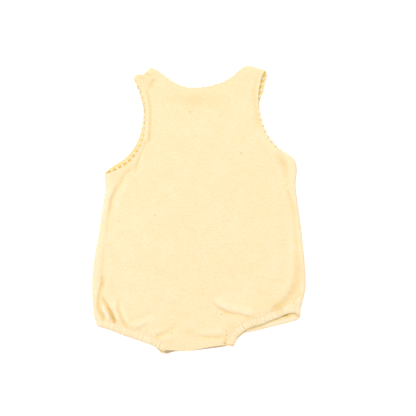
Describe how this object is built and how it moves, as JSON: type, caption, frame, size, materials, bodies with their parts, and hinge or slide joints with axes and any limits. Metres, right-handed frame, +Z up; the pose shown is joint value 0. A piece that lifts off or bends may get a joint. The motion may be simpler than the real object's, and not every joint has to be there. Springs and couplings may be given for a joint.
{
  "type": "baby romper",
  "caption": "Sleeveless knit bubble romper for a baby, laid flat with its back up, with picot edging at the neck and armholes and gathered elastic leg bands.",
  "frame": {"origin": "the plane that the romper lies on, below the middle of its bounding box", "axes": "+X to the right seen from above, +Y from the crotch to the neck, +Z up from the plane through the front panel to the back panel"},
  "size_m": [0.267, 0.3596, 0.0066],
  "materials": {
    "yellow_knit": "matt fine knit",
    "cream_picot": "matt woven picot tape"
  },
  "bodies": {
    "root": {"back_panel": "yellow_knit", "front_panel": "yellow_knit", "leg_band_left": "yellow_knit", "leg_band_right": "yellow_knit", "armhole_picot_left_back": "cream_picot", "armhole_picot_left_front": "cream_picot", "armhole_picot_right_back": "cream_picot", "armhole_picot_right_front": "cream_picot", "neck_picot_back": "cream_picot", "neck_picot_front": "cream_picot"}
  },
  "joints": []
}
